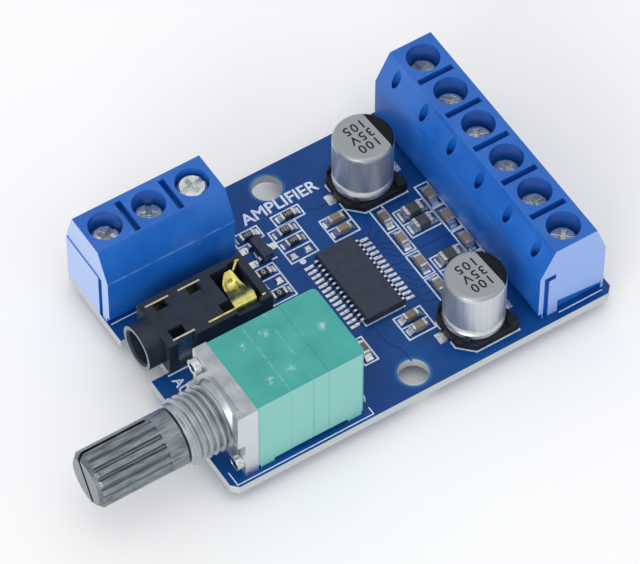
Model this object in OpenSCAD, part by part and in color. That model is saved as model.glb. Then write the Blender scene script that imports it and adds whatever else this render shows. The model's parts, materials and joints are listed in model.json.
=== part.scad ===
// Stereo audio amplifier board with screw terminals, headphone socket and volume control.
// Millimetres, +Z up. The origin is midway between the mounting holes on the board's underside.
// +X runs along the board to the speaker terminal, +Y to the power terminal.

/* [Board] */
// Length of the board along X
board_l = 44.6; // [44.4:0.1:60]
// Width of the board along Y
board_w = 31.7; // [31.5:0.1:45]
// Thickness of the laminate
board_t = 1.1; // [0.8:0.1:2]
// Chamfer on each board corner
board_corner = 0.7; // [0.2:0.1:2]
// Distance of a mounting hole from the board's long edge
hole_edge = 2.35; // [2.1:0.05:5]
// Diameter of a mounting hole
hole_d = 3.2; // [2.2:0.1:3.4]
// Length of the solder tails below the board
tail = 1.6; // [1:0.1:3]

/* [Screw terminals] */
// Distance from one pole to the next
pole_pitch = 5; // [4.9:0.01:5.08]
// Plastic beyond the last screw at each end
pole_end = 2.35; // [2.2:0.05:2.5]
// Height of a terminal above the board
term_h = 10.05; // [9.5:0.05:12]
// Half width of the flat top
term_flat = 2.45; // [2.2:0.05:2.6]
// Overhang of the side away from the wires, from the screw
term_back = 4.15; // [3.8:0.05:4.3]
// Reach of the wire side from the screw
term_front = 3.62; // [3.4:0.02:4]
// Height of the foot of both slopes
term_slope_z = 6.6; // [6.2:0.1:7]
// Diameter of a screw well
well_d = 3.5; // [3.4:0.1:3.8]
// Width of a wire mouth
mouth_w = 3.8; // [3.6:0.1:4]

/* [Terminal screws] */
// Diameter of the screw thread
screw_d = 2.5; // [2:0.1:2.6]
// Diameter of a screw head
screw_head_d = 3.1; // [2.8:0.1:3.1]
// Height of a screw head
screw_head_h = 1.2; // [0.9:0.1:1.4]
// Depth of the speaker screws below the top at rest
speaker_depth = 2.1; // [0.3:0.1:3]
// Depth of the first two power screws below the top at rest
power_depth = 1.8; // [0.3:0.1:3]
// Depth of the third power screw, left loosened
power_depth_3 = 0.6; // [0.3:0.1:3]
// Greatest depth a screw reaches when clamped down
deepest = 3; // [2.8:0.05:3.1]
// Radial clearance of a screw in its tapped clamp
screw_gap = 0.03; // [0.02:0.01:0.08]

/* [Headphone socket] */
// Length of the socket body
jack_l = 12; // [11.5:0.1:12.4]
// Width of the socket body
jack_w = 6.2; // [6:0.1:6.6]
// Height of the socket body above the board
jack_h = 4.3; // [4.2:0.1:5]
// Length of the round nose
jack_nose_l = 1.9; // [1.5:0.1:4]
// Diameter of the round nose
jack_nose_d = 4.9; // [4.7:0.1:5]
// Diameter of the plug bore
jack_bore_d = 3.6; // [3.5:0.02:3.7]
// Thickness of the contact strip
strip_t = 0.25; // [0.2:0.05:0.3]

/* [Volume control] */
// Width of the moulded body
pot_w = 9.2; // [9:0.1:9.6]
// Height of the metal front
pot_h = 10.1; // [9.8:0.1:11]
// Thickness of the metal front plate
pot_plate_t = 1.5; // [1.2:0.1:2]
// Length of the threaded bushing
bushing_l = 5; // [4:0.1:8]
// Diameter of the threaded bushing
bushing_d = 7; // [6.8:0.1:7.4]
// Length of the plain collar at the bushing's root
collar_l = 0.9; // [0.85:0.05:1.5]
// Length of the shaft in front of the metal face
shaft_l = 15; // [12:0.5:25]
// Diameter of the shaft
shaft_d = 6; // [5.8:0.1:6.2]
// Number of splines on the shaft
spline_n = 18; // [12:1:24]
// Length of the splined part
spline_l = 7.9; // [5:0.1:8.5]
// Running clearance of the shaft, radial
shaft_gap = 0.05; // [0.02:0.01:0.09]
// Angle of the end slit at rest
slit_angle = 60; // [0:5:180]

/* [Capacitors] */
// Diameter of a can
can_d = 6.3; // [5:0.1:6.4]
// Overall height of a capacitor
can_h = 7.7; // [5.4:0.1:10]
// Side of the square base
can_base = 6.6; // [6.5:0.1:6.8]

/* [Chips] */
// Leads on each side of the amplifier chip
chip_leads = 14; // [8:1:14]
// Lead pitch of the amplifier chip
chip_pitch = 0.65; // [0.5:0.01:0.65]
// Width of the amplifier chip's body
chip_w = 4.4; // [4:0.1:4.6]
// Height of the amplifier chip's body
chip_h = 0.95; // [0.8:0.05:1.2]
// Length of a small chip part
small_l = 1.6; // [1.4:0.05:1.7]
// Width of a small chip part
small_w = 0.8; // [0.7:0.05:0.85]
// Height of a small chip capacitor
small_cap_h = 0.8; // [0.5:0.05:0.9]
// Height of a chip resistor
small_res_h = 0.45; // [0.35:0.05:0.6]
// Length of a ferrite bead
bead_l = 2; // [1.8:0.05:2.1]
// Width of a ferrite bead
bead_w = 1.25; // [1.1:0.05:1.3]
// Height of a ferrite bead
bead_h = 0.9; // [0.7:0.05:1.2]

/* [Hidden] */

$fn = 48;
// small overlap that only cuts use
eps = 0.01;

// places of the holes and the large parts, tied to the nearest board edges
hole_gap = board_w - 2 * hole_edge;
speaker_x = board_l / 2 - 4.3;
power_x = -board_l / 2 + 2.45;
power_y = board_w / 2 - 4.25;
jack_x = -board_l / 2 + 2.05;
jack_y = 2.3;
jack_z = 2.05;
notch_l = 2.1;
notch_w = 5.8;
pot_x = -board_l / 2 + 1.85;
pot_y = -board_w / 2 + 5.5;
pot_z = pot_h / 2 + 0.05;

// clamp inside a pole: C-shaped strip standing on the board, open to the wire
clamp_w = 3.4;
clamp_floor = 0.8;
clamp_roof = 4.7;
clamp_top = 5.7;
clamp_back = -2.2;
clamp_front = 2.2;
clamp_wall = 0.8;
cavity_gap = 0.05;
pin_u = 1;
pin_v = 0.8;
pin_hole_r = 0.75;

// pressure plate under a screw, and the screw length that lets it reach the floor
plate_t = 0.5;
plate_gap = 0.1;
shank_l = term_h - deepest - screw_head_h - clamp_floor - plate_gap - plate_t;

// layers of the volume control behind its metal front, as shares of the moulded length
pot_body_l = 12.35;
pot_corner = 0.55;
case_1 = 0.31 * pot_body_l;
wafer_1 = 0.21 * pot_body_l;
wafer_2 = 0.14 * pot_body_l;
case_2 = pot_body_l - case_1 - wafer_1 - wafer_2;
pot_lift = 0.4;
rotor_r = 3.8;
rotor_gap = 0.3;
rotor_t = 1.5;
neck_d = 4.4;
core_d = 3;
rivet_y = 3.7;
rivet_z = 3.55;
rivet_r = 0.6;
rivet_gap = 0.03;
pot_pin_pitch = 2.5;

// contacts of the socket, measured from its front face and centre line
ring_x = 0.6;
ring_l = 2.7;
ring_2_x = 4.3;
ring_2_l = 2.6;
sleeve_x = 0.8;
sleeve_l = 2.55;
tip_x = 4.9;
tip_l = 2.9;
tip_end = jack_l - 0.45;
side_y = jack_w / 2 - 0.65;
chamber_x = 0.95;
chamber_w = 3.7;
jack_tip_r = 1.4;
window_x = 7.95;
window_l = 3.2;
leaf_x = 8.1;
leaf_l = 2.5;
switch_x = 10.1;
switch_l = jack_l - 0.55 - switch_x;
jack_pin_w = 0.8;
jack_hole_r = 0.5;
jack_pin_x = [1.9, 5.6, 2, 6.3, 10.6];

// layout of the small parts on the board, x then y, read off the printed frames
cap_1 = [board_l / 2 - 13.85, board_w / 2 - 7.05];
cap_2 = [board_l / 2 - 13.9, 4.35 - board_w / 2];
chip_at = [1.44, -1.5];
transistor_at = [-4.75, 7];
resistors_at = [[-0.1, 9.4], [-1.4, 7.86], [-1.4, 6.33], [-4.95, 9.33], [-6.05, 4.54], [-6.05, 1.55]];
bare_at = [[-1.5, 4.81], [-6.05, 3.05]];
caps_x_at = [[3.6, 6.33], [3.6, 4.82], [3.4, -7.8], [3.4, -9.3]];
caps_y_at = [[7.82, 3.75], [7.82, 0.6], [7.82, -2.83], [7.82, -6.2],
  [13.25, 3.85], [13.25, 0.55], [13.25, -2.85], [13.25, -6.2], [-2.8, -8.7]];
beads_at = [[10.75, 3.05], [10.75, 1.22], [10.75, -3.7], [10.75, -5.55]];
small_end = 0.3;
bead_end = 0.4;
solder_l = 0.55;
pad_t = 0.05;
tab_t = 0.15;
can_seat = 1;
chip_l = chip_leads * chip_pitch + 0.6;
lead_t = 0.15;
lead_w = 0.24;
lead_reach = 1;
lead_z = 0.5;

function speaker_at(k) = [speaker_x, (3.5 - k) * pole_pitch];
function power_at(k) = [power_x + (k - 1) * pole_pitch, power_y];
function speaker_turn(k) = [15, 40, 68, 24, 80, 50][k - 1];
function power_turn(k) = [30, 62, 10][k - 1];
function power_down(k) = k == 3 ? power_depth_3 : power_depth;
function jack_pins() = [
  [jack_pin_x[0], side_y], [jack_pin_x[1], side_y], [jack_pin_x[2], -side_y],
  [jack_pin_x[3], -side_y], [jack_pin_x[4], side_y]];
function pot_pins() = [for (row = [0, 1], k = [-1 : 1])
  [pot_plate_t + case_1 + (row == 0 ? wafer_1 / 2 : wafer_1 + wafer_2 / 2), k * pot_pin_pitch]];

// moves the children onto the board's top face at a place
module on_board(p) {
  translate([p[0], p[1], board_t]) children();
}

// puts the children in the socket's own frame: front face, centre line, board top
module at_jack() {
  translate([jack_x, jack_y, board_t]) children();
}

// puts the children on the volume control's axis at its metal face
module at_pot() {
  translate([pot_x, pot_y, board_t + pot_z]) children();
}

// a disc or tube along X from x0 over a length
module rod(x0, len, r) {
  translate([x0, 0, 0]) rotate([0, 90, 0]) cylinder(r = r, h = len);
}

// a profile drawn in Y and Z, drawn out along X
module along_x(x0, len) {
  translate([x0, 0, 0]) rotate([90, 0, 90]) linear_extrude(len) children();
}

module board_outline() {
  x = board_l / 2;
  y = board_w / 2;
  c = board_corner;
  polygon([[c - x, -y], [x - c, -y], [x, c - y], [x, y - c],
    [x - c, y], [c - x, y], [-x, y - c], [-x, c - y]]);
}

module circuit_board() {
  color("#1f4f97") difference() {
    linear_extrude(board_t) board_outline();
    for (s = [-1, 1]) translate([0, s * hole_gap / 2, -1]) cylinder(d = hole_d, h = board_t + 2);
    translate([-board_l / 2 - 1, jack_y - notch_w / 2, -1]) cube([notch_l + 1, notch_w, board_t + 2]);
    for (k = [1 : 6]) translate(concat(speaker_at(k), -1)) cylinder(r = pin_hole_r, h = board_t + 2);
    for (k = [1 : 3]) translate(concat(power_at(k), -1)) cylinder(r = pin_hole_r, h = board_t + 2);
    for (p = jack_pins()) translate([jack_x + p[0], jack_y + p[1], -1]) {
      cylinder(r = jack_hole_r, h = board_t + 2);
    }
    for (p = pot_pins()) translate([pot_x + p[0], pot_y + p[1], -1]) {
      cylinder(r = 0.6, h = board_t + 2);
    }
    for (x = [4.2, 10.2]) translate([jack_x + x, jack_y, -1]) cylinder(r = 0.55, h = board_t + 2);
  }
}

// cone of solder hanging under the board round a tail of the given section
module joint_cone(p, r, a, b) {
  translate([p[0], p[1], 0]) difference() {
    translate([0, 0, -0.65 * tail]) cylinder(r1 = 0.62 * r, r2 = r, h = 0.65 * tail);
    translate([-a / 2, -b / 2, -tail]) cube([a, b, tail + 1]);
  }
}

module through_solder() {
  color("#c4c8cc") {
    for (k = [1 : 6]) joint_cone(speaker_at(k), 1.25, pin_u, pin_v);
    for (k = [1 : 3]) joint_cone(power_at(k), 1.25, pin_v, pin_u);
    for (p = jack_pins()) joint_cone([jack_x + p[0], jack_y + p[1]], 0.85, jack_pin_w, strip_t);
    for (p = pot_pins()) joint_cone([pot_x + p[0], pot_y + p[1]], 0.95, 0.35, 0.9);
  }
}

// ramp of solder at one end of a chip part: low at the pad's end, high at the part
module ramp(w, h) {
  translate([0, w / 2, 0]) rotate([90, 0, 0]) linear_extrude(w) {
    polygon([[0, 0], [solder_l, 0], [solder_l, pad_t], [0.6 * solder_l, 0.2 * h + pad_t], [0, h]]);
  }
}

module ramps(l, w, h) {
  for (s = [0, 180]) rotate(s) translate([l / 2, 0, 0]) ramp(w, h);
}

module chip_solder() {
  color("#c4c8cc") {
    for (p = resistors_at) on_board(p) ramps(small_l, small_w, 0.8 * small_res_h);
    for (p = caps_x_at) on_board(p) ramps(small_l, small_w, 0.6 * small_cap_h);
    for (p = caps_y_at) on_board(p) rotate(90) ramps(small_l, small_w, 0.6 * small_cap_h);
    for (p = beads_at) on_board(p) ramps(bead_l, bead_w, 0.6 * bead_h);
    for (p = bare_at, s = [-0.85, 0.85]) on_board(p) bare_pad(s);
    on_board(chip_at) chip_rows() translate([0.55 * lead_reach, -0.17, 0]) cube([1, 0.34, pad_t]);
    on_board(transistor_at) transistor_rows() translate([0.45, -0.4, 0]) cube([0.75, 0.8, pad_t]);
    for (p = [cap_1, cap_2], s = [0, 180]) on_board(p) rotate(s) {
      translate([2.6, -0.65, 0]) cube([1.7, 1.3, pad_t]);
    }
  }
}

// an unused pad carries a low cushion of solder
module bare_pad(s) {
  translate([s, 0, 0]) hull() {
    translate([-0.45, -0.4, 0]) cube([0.9, 0.8, pad_t]);
    translate([-0.25, -0.2, 0]) cube([0.5, 0.4, 0.22]);
  }
}

// a moulded terminal: poles along X, wires entering from +Y, first screw at the origin
module terminal_housing(n, dimples) {
  last = (n - 1) * pole_pitch;
  full = last + 2 * pole_end;
  b = -term_back;
  f = term_front;
  difference() {
    union() {
      along_x(-pole_end, full) polygon([[b + 0.45, 0], [b + 0.45, 0.8], [b, 0.8], [b, term_slope_z],
        [-term_flat, term_h], [term_flat, term_h], [f, term_slope_z], [f, 0]]);
      translate([-pole_end - 0.12, -2.5, 0]) cube([0.5, f + 2.5, 6.1]);
    }
    for (k = [0 : n - 1]) translate([k * pole_pitch, 0, 0]) pole_cuts(dimples);
    for (k = [0 : n - 2]) translate([(k + 0.5) * pole_pitch - 0.34, -2.2, term_h - 1.2]) {
      cube([0.68, 4.1, 2]);
    }
    translate([-pole_end - 1, -2.9, -1]) cube([1.5, 0.4, 7]);
    translate([last + pole_end - 0.4, -3.6, -1]) cube([1, 0.55, 7.35]);
    translate([last + pole_end - 0.4, -3.6, 5.65]) cube([1, 1.35, 0.7]);
    along_x(last + pole_end - 0.4, 1) polygon([[-1.9, -1], [f - 0.3, -1], [f - 0.3, 1], [-1.9, 1.7]]);
  }
}

// what one pole removes from the moulding
module pole_cuts(dimples) {
  translate([0, 0, clamp_top]) cylinder(d = well_d, h = term_h);
  translate([-clamp_w / 2 - cavity_gap, clamp_back - cavity_gap, -1]) {
    cube([clamp_w + 2 * cavity_gap, clamp_front - clamp_back + 2 * cavity_gap, clamp_top + 1 + cavity_gap]);
  }
  translate([-mouth_w / 2, clamp_front - 0.5, clamp_floor + 0.1]) {
    cube([mouth_w, term_front, clamp_roof - clamp_floor - 0.1]);
  }
  if (dimples) translate([0, -3.15, 6.1]) cylinder(d = 1, h = 4);
}

module terminal_clamp() {
  difference() {
    union() {
      along_x(-clamp_w / 2, clamp_w) polygon([[clamp_back, 0], [clamp_front, 0],
        [clamp_front, clamp_floor], [clamp_back + clamp_wall, clamp_floor],
        [clamp_back + clamp_wall, clamp_roof], [clamp_front, clamp_roof],
        [clamp_front, clamp_top], [clamp_back, clamp_top]]);
      translate([-pin_v / 2, -pin_u / 2, -board_t - tail]) cube([pin_v, pin_u, board_t + tail + 0.1]);
    }
    translate([0, 0, clamp_roof - 1]) cylinder(d = screw_d + 2 * screw_gap, h = 3);
  }
}

// screw with a combined slot and cross, its head top at the given depth
module terminal_screw(depth, turn) {
  r = screw_head_d / 2;
  translate([0, 0, term_h - depth]) rotate(turn) difference() {
    union() {
      translate([0, 0, -screw_head_h]) cylinder(r = r, h = screw_head_h - 0.25);
      translate([0, 0, -0.25]) cylinder(r1 = r, r2 = r - 0.25, h = 0.25);
      translate([0, 0, -screw_head_h - shank_l]) cylinder(d = screw_d, h = shank_l + eps);
    }
    translate([-2, -0.28, -0.55]) cube([4, 0.56, 1]);
    translate([-0.28, -0.95, -0.8]) cube([0.56, 1.9, 1]);
  }
}

// plate between the screw's tip and the wire
module pressure_plate(depth) {
  z = term_h - depth - screw_head_h - shank_l - plate_t;
  translate([-1.5, clamp_back + clamp_wall + 0.1, z]) cube([3, 3.4, plate_t]);
}

module at_speaker(k) {
  on_board(speaker_at(k)) rotate(-90) children();
}

module at_power(k) {
  on_board(power_at(k)) children();
}

module speaker_terminal_housing() {
  color("#2b62bd") at_speaker(1) terminal_housing(6, true);
}

module power_terminal_housing() {
  color("#2b62bd") at_power(1) terminal_housing(3, false);
}

module speaker_terminal_clamps() {
  color("#c9c7bd") for (k = [1 : 6]) at_speaker(k) terminal_clamp();
}

module power_terminal_clamps() {
  color("#c9c7bd") for (k = [1 : 3]) at_power(k) terminal_clamp();
}

module speaker_plate(k) {
  color("#c9c7bd") at_speaker(k) pressure_plate(speaker_depth);
}

module speaker_screw(k) {
  color("#bfc3c6") at_speaker(k) terminal_screw(speaker_depth, speaker_turn(k));
}

module power_plate(k) {
  color("#c9c7bd") at_power(k) pressure_plate(power_down(k));
}

module power_screw(k) {
  color("#bfc3c6") at_power(k) terminal_screw(power_down(k), power_turn(k));
}

module jack_body() {
  pocket = side_y - strip_t / 2;
  color("#2b303c") at_jack() difference() {
    union() {
      translate([0, -jack_w / 2, 0]) cube([jack_l, jack_w, jack_h]);
      translate([0, 0, jack_z]) rod(-jack_nose_l, jack_nose_l + eps, jack_nose_d / 2);
      for (x = [4.2, 10.2]) translate([x, 0, -board_t]) cylinder(r = 0.5, h = board_t + 0.1);
    }
    translate([0, 0, jack_z]) rod(-jack_nose_l - 1, jack_nose_l + 1 + chamber_x, jack_bore_d / 2);
    translate([chamber_x - eps, -chamber_w / 2, jack_z - chamber_w / 2]) {
      cube([window_x - chamber_x + 2 * eps, chamber_w, chamber_w]);
    }
    translate([0, 0, jack_z]) rod(window_x, jack_l, jack_tip_r);
    translate([0, 0, jack_z]) rotate([0, 90, 0]) translate([0, 0, -jack_nose_l - eps]) {
      cylinder(d1 = jack_bore_d + 0.5, d2 = jack_bore_d, h = 0.25);
    }
    strip_slot(ring_x, ring_l, side_y);
    strip_slot(ring_2_x, ring_2_l, side_y);
    strip_slot(sleeve_x, sleeve_l, -side_y);
    strip_slot(tip_x, tip_end - tip_x, -side_y);
    strip_slot(switch_x, switch_l, side_y);
    translate([leaf_x - 0.15, -jack_w / 2 - 1, jack_h - 0.65]) cube([leaf_l + 0.2, jack_w / 2 - side_y + 1, 1]);
    translate([1.3, 1.35, -1]) cube([1.4, pocket - 1.35 + eps, jack_h + 2]);
    translate([5.1, 1.35, -1]) cube([1.4, pocket - 1.35 + eps, jack_h + 2]);
    translate([0.95, -pocket - eps, -1]) cube([1.6, pocket - 1.2, jack_h + 2]);
    translate([6.8, -pocket - eps, jack_z]) cube([1.2, pocket - 1.2, jack_h]);
    translate([1.05, -jack_w / 2 - 1, -1]) cube([2.1, jack_w / 2 - side_y + 1, jack_h + 2]);
    translate([window_x, -pocket - eps, 0.5]) cube([window_l, 2 * pocket + 2 * eps, jack_h]);
  }
}

// slot in the socket's side for one contact strip, open through the top
module strip_slot(x0, len, y) {
  translate([x0 - 0.02, y - strip_t / 2 - 0.02, -1]) cube([len + 0.04, strip_t + 0.04, jack_h + 2]);
}

// upright contact strip standing on the board, with its solder tail
module contact_strip(x0, len, y, h, pin) {
  translate([x0, y - strip_t / 2, 0]) cube([len, strip_t, h]);
  translate([pin - jack_pin_w / 2, y - strip_t / 2, -board_t - tail]) {
    cube([jack_pin_w, strip_t, board_t + tail + 0.1]);
  }
}

module jack_ring_contact() {
  color("#d9d6c4") at_jack() {
    contact_strip(ring_x, ring_l, side_y, jack_h, jack_pin_x[0]);
    contact_finger(1.5, 1, side_y);
  }
}

module jack_ring_switch() {
  color("#d9d6c4") at_jack() {
    contact_strip(ring_2_x, ring_2_l, side_y, jack_h, jack_pin_x[1]);
    contact_finger(5.3, 1, side_y);
  }
}

module jack_sleeve_contact() {
  color("#c9b04a") at_jack() {
    contact_strip(sleeve_x, sleeve_l, -side_y, jack_h, jack_pin_x[2]);
    mirror([0, 1, 0]) contact_finger(1.2, 1, side_y);
  }
}

// spring finger bent from a strip towards the plug
module contact_finger(x0, len, y) {
  t = strip_t / 2;
  along_x(x0, len) polygon([[y, 1.2], [y, 1.5], [y - 0.75, 2.15], [y - 0.55, 2.6],
    [y - 0.7, 2.75], [y - 0.98, 2.15], [y - t - 0.12, 1.2]]);
}

// leaf of the tip spring seen along X: up the wall, over the window, down to the plug and up again
module leaf_profile() {
  t = 0.2;
  y = -side_y - strip_t / 2;
  h = jack_h - 0.05;
  polygon([[y, 0], [y, h - 0.7], [y + 0.2, h - 0.2], [y + 0.7, h], [y + 1.3, h - 0.08], [y + 1.9, h - 0.45],
    [y + 2.5, h - 0.75], [y + 3.2, h - 0.62], [y + 4.2, h - 0.15], [y + 4.3, h - 0.3], [y + 3.3, h - 0.8],
    [y + 2.5, h - 0.95], [y + 1.8, h - 0.65], [y + 1.2, h - 0.28], [y + 0.75, h - 0.2], [y + 0.36, h - 0.36],
    [y + strip_t, h - 0.75], [y + strip_t, 0]]);
}

module jack_tip_spring() {
  y = -side_y;
  color("#d8c850") at_jack() {
    contact_strip(tip_x, tip_l + 0.3, y, jack_h, jack_pin_x[3]);
    translate([leaf_x, y - strip_t / 2, 0]) cube([tip_end - leaf_x, strip_t, jack_h - 1.2]);
    translate([tip_end - 0.45, y - strip_t / 2, 0]) cube([0.45, strip_t, jack_h]);
    intersection() {
      along_x(leaf_x, leaf_l) leaf_profile();
      translate([leaf_x, y, -1]) linear_extrude(jack_h + 2) polygon([[-0.1, -0.5], [leaf_l + 0.1, -0.5],
        [leaf_l + 0.1, 1], [leaf_l - 0.3, 2.2], [leaf_l - 0.15, 3.2], [leaf_l - 0.6, 4.6],
        [leaf_l - 1.4, 4.6], [0.4, 3.4], [0.1, 2.3], [-0.1, 1.2]]);
    }
    translate([leaf_x + 1.2, y + 2.4, jack_h - 1.12]) cylinder(r1 = 0.3, r2 = 0.5, h = 0.25);
  }
}

// short strip in the far corner of the window, with a finger that reaches for the leaf's narrow end
module jack_tip_switch() {
  x1 = switch_x + switch_l;
  color("#d8c850") at_jack() {
    contact_strip(switch_x, switch_l, side_y, jack_h - 1.4, jack_pin_x[4]);
    translate([x1 - 0.5, side_y - strip_t / 2, 0]) cube([0.5, strip_t, jack_h]);
    translate([x1 - 0.5, side_y, jack_h - 0.95]) linear_extrude(0.9) polygon([[0.05, 0.05], [0.3, -0.1],
      [-0.56, -0.83], [-0.7, -0.7]]);
  }
}

module pot_front_casting() {
  w = pot_w + 0.3;
  color("#b4bac0") at_pot() difference() {
    union() {
      translate([0, -w / 2, -pot_z]) cube([pot_plate_t, w, pot_h]);
      rod(-bushing_l + 0.3, bushing_l, bushing_d / 2);
      rod(-collar_l, collar_l + 0.1, bushing_d / 2 + 0.2);
      translate([-bushing_l, 0, 0]) rotate([0, 90, 0]) cylinder(d1 = bushing_d - 0.7, d2 = bushing_d, h = 0.3);
      for (s = [0, 180]) rotate([s, 0, 0]) translate([-0.8, -w / 2, 0.1]) cube([0.9, 1, pot_h / 2 - 0.2]);
      translate([-0.5, -1.2, -pot_z]) cube([0.6, 2.4, 2.4]);
    }
    rod(-bushing_l - 1, bushing_l + pot_plate_t + 2, neck_d / 2 + shaft_gap);
    for (s = [-1, 1]) translate([0, s * rivet_y, s * rivet_z]) rod(-2, pot_plate_t + 3, rivet_r + rivet_gap);
  }
}

// splined, slit end of the shaft, plain collar, neck in the bushing, core through both gangs
module pot_shaft() {
  r = shaft_d / 2;
  gap = 0.2;
  collar = shaft_l - bushing_l - spline_l - gap;
  color("#aab0b6") at_pot() difference() {
    union() {
      translate([-shaft_l, 0, 0]) rotate([0, 90, 0]) cylinder(r1 = r - 0.55, r2 = r, h = 0.55);
      rod(-shaft_l + 0.55, spline_l + collar - 0.55, r);
      rod(-bushing_l - gap - eps, bushing_l + gap + pot_plate_t + 0.6, neck_d / 2);
      rod(pot_plate_t, pot_body_l - 0.9, core_d / 2);
    }
    for (k = [0 : spline_n - 1]) rotate([k * 360 / spline_n, 0, 0]) along_x(-shaft_l - 1, spline_l + 1) {
      polygon([[-0.34, r + 0.1], [-0.08, r - 0.26], [0.08, r - 0.26], [0.34, r + 0.1]]);
    }
    rotate([slit_angle - 90, 0, 0]) translate([-shaft_l - 1, -0.25, -r - 1]) cube([8.6, 0.5, 2 * r + 2]);
  }
}

// one moulded layer of the volume control, with the rivets' holes and a centre hole
module pot_layer(x0, len, hole) {
  difference() {
    translate([x0, -pot_w / 2, pot_lift - pot_z]) cube([len, pot_w, pot_h - pot_lift]);
    rod(x0 - 1, len + 2, hole);
    for (s = [-1, 1]) translate([0, s * rivet_y, s * rivet_z]) rod(x0 - 1, len + 2, rivet_r + rivet_gap);
  }
}

module pot_foot(x0, len) {
  for (s = [-1, 1]) translate([x0, s * (pot_w / 2 - 0.7) - 0.7, -pot_z]) cube([len, 1.4, pot_lift + 0.2]);
}

module pot_front_case() {
  color("#48a99d") at_pot() difference() {
    union() {
      pot_layer(pot_plate_t, case_1, neck_d / 2 + 0.2);
      pot_foot(pot_plate_t + 0.3, 1.6);
    }
    rod(pot_plate_t + 0.6, case_1, rotor_r + rotor_gap);
  }
}

// flat tail of one terminal, let into the wafer
module pot_tail(p, grow) {
  translate([p[0] - 0.175 - grow, p[1] - 0.45 - grow, -pot_z - board_t - tail]) {
    cube([0.35 + 2 * grow, 0.9 + 2 * grow, board_t + tail + 2]);
  }
}

module pot_front_wafer() {
  color("#48a99d") at_pot() difference() {
    pot_layer(pot_plate_t + case_1, wafer_1, core_d / 2 + 0.1);
    for (p = pot_pins()) pot_tail(p, 0);
  }
}

module pot_rear_wafer() {
  color("#48a99d") at_pot() difference() {
    pot_layer(pot_plate_t + case_1 + wafer_1, wafer_2, core_d / 2 + 0.1);
    for (p = pot_pins()) pot_tail(p, 0);
  }
}

module pot_rear_case() {
  x0 = pot_plate_t + pot_body_l - case_2;
  color("#48a99d") at_pot() difference() {
    union() {
      pot_layer(x0, case_2, 0.5);
      pot_foot(x0 + case_2 - 2, 1.6);
    }
    rod(x0 - 1, case_2 + 0.3, rotor_r + rotor_gap);
    for (s = [0, 1]) mirror([0, s, 0]) translate([x0 + case_2, pot_w / 2, -pot_z - 1]) difference() {
      translate([-pot_corner, -pot_corner, 0]) cube([pot_corner + 1, pot_corner + 1, pot_h + 2]);
      translate([-pot_corner, -pot_corner, -1]) cylinder(r = pot_corner, h = pot_h + 4);
    }
  }
}

// tubular rivets from the metal front to the rear, flared at both ends
module pot_rivets() {
  l = pot_plate_t + pot_body_l;
  color("#c2c6ca") at_pot() for (s = [-1, 1]) translate([0, s * rivet_y, s * rivet_z]) difference() {
    union() {
      rod(-0.75, l + 0.95, rivet_r);
      rod(-0.75, 0.75, rivet_r + 0.3);
      rod(l, 0.2, rivet_r + 0.15);
    }
    rod(-2, l + 4, rivet_r - 0.15);
  }
}

module pot_terminals() {
  color("#c9c7bd") at_pot() for (p = pot_pins()) pot_tail(p, 0);
}

module pot_rotor(x0) {
  color("#2a2a2c") at_pot() difference() {
    rod(x0, rotor_t, rotor_r);
    rod(x0 - 1, rotor_t + 2, core_d / 2);
  }
}

module pot_front_rotor() {
  pot_rotor(pot_plate_t + 0.9);
}

module pot_rear_rotor() {
  pot_rotor(pot_plate_t + pot_body_l - 1 - rotor_t);
}

// brush springs between each rotor and the track on its wafer
module pot_wipers() {
  front = pot_plate_t + 0.9 + rotor_t;
  rear = pot_plate_t + pot_body_l - 1 - rotor_t;
  a = pot_plate_t + case_1 - 0.15 - front;
  b = rear - (pot_plate_t + pot_body_l - case_2) - 0.15;
  color("#d0b860") at_pot() {
    wiper(front, a);
    translate([rear, 0, 0]) mirror([1, 0, 0]) wiper(0, b);
  }
}

module wiper(x0, rise) {
  translate([x0, 0, 2.1]) {
    translate([0, -1.4, 0]) cube([0.2, 2.8, 1.2]);
    translate([0, 0.8, 0.2]) cube([rise, 0.2, 0.8]);
    translate([rise - 0.2, -1, 0.2]) cube([0.2, 2, 0.8]);
  }
}

// aluminium can with a rolled bead above the seal
module can() {
  r = can_d / 2;
  z = can_seat;
  color("#b9bdc4") rotate_extrude($fn = 96) polygon([[0, z], [r - 0.3, z], [r - 0.08, z + 0.1], [r, z + 0.3],
    [r, z + 0.75], [r - 0.12, z + 0.95], [r - 0.34, z + 1.1], [r - 0.34, z + 1.3], [r - 0.12, z + 1.45],
    [r, z + 1.65], [r, can_h - 0.45], [r - 0.06, can_h - 0.22], [r - 0.2, can_h - 0.07],
    [r - 0.42, can_h], [0, can_h]]);
}

// square plastic base, two corners cut on the positive side, four upright lips at the corners
module can_foot() {
  s = can_base / 2;
  c = 1.5;
  color("#23262b") difference() {
    union() {
      translate([0, 0, pad_t + tab_t]) linear_extrude(can_seat - pad_t - tab_t) base_outline(s, c);
      translate([0, 0, can_seat - eps]) linear_extrude(0.7) base_outline(s, c);
    }
    translate([0, 0, can_seat]) cylinder(d = can_d + 0.3, h = 3, $fn = 96);
    for (a = [0, 90]) rotate(a) translate([-5, -2.2, can_seat]) cube([10, 4.4, 2]);
  }
}

module base_outline(s, c) {
  polygon([[c - s, -s], [s, -s], [s, s], [c - s, s], [-s, s - c], [-s, c - s]]);
}

module can_tabs() {
  color("#c9ccd0") for (s = [0, 180]) rotate(s) translate([0.6, -0.4, pad_t]) cube([3.3, 0.8, tab_t]);
}

module capacitor_1_can() {
  on_board(cap_1) can();
}

module capacitor_2_can() {
  on_board(cap_2) can();
}

module capacitor_1_base() {
  on_board(cap_1) can_foot();
}

module capacitor_2_base() {
  on_board(cap_2) can_foot();
}

module capacitor_1_leads() {
  on_board(cap_1) can_tabs();
}

module capacitor_2_leads() {
  on_board(cap_2) can_tabs();
}

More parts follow.
